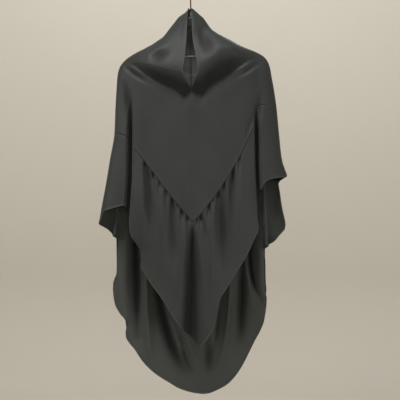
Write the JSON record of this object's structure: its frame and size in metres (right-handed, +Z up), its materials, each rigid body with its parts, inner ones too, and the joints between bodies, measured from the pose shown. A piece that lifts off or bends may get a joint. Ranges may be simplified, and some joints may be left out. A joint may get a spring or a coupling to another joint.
{
  "type": "khimar veil on hanger",
  "caption": "Hooded two-level cape-like veil of plain dark cloth with a V seam and gathered flounces, hanging from a plain clothes hanger by its wire hook.",
  "frame": {"origin": "inside top of the hanger's hook, where it rests on the rail or peg that carries it", "axes": "+Z up, -Y out of the face opening towards the viewer, +X to the right of that view"},
  "size_m": [0.5565, 0.16, 1.2258],
  "materials": {
    "veil_cloth": "smooth satin-matt charcoal woven cloth",
    "hanger_wood": "dark stained and lacquered",
    "ferrule_metal": "turned, satin",
    "hook_metal": "brown bronzed wire"
  },
  "bodies": {
    "root": {"yoke_left": "veil_cloth", "yoke_right": "veil_cloth", "front_flounce": "veil_cloth", "sleeve_flounce_left": "veil_cloth", "sleeve_flounce_right": "veil_cloth", "back_flounce": "veil_cloth", "hanger_body": "hanger_wood", "hanger_bar": "hanger_wood", "hanger_ferrule": "ferrule_metal", "hanger_hook": "hook_metal"}
  },
  "joints": []
}
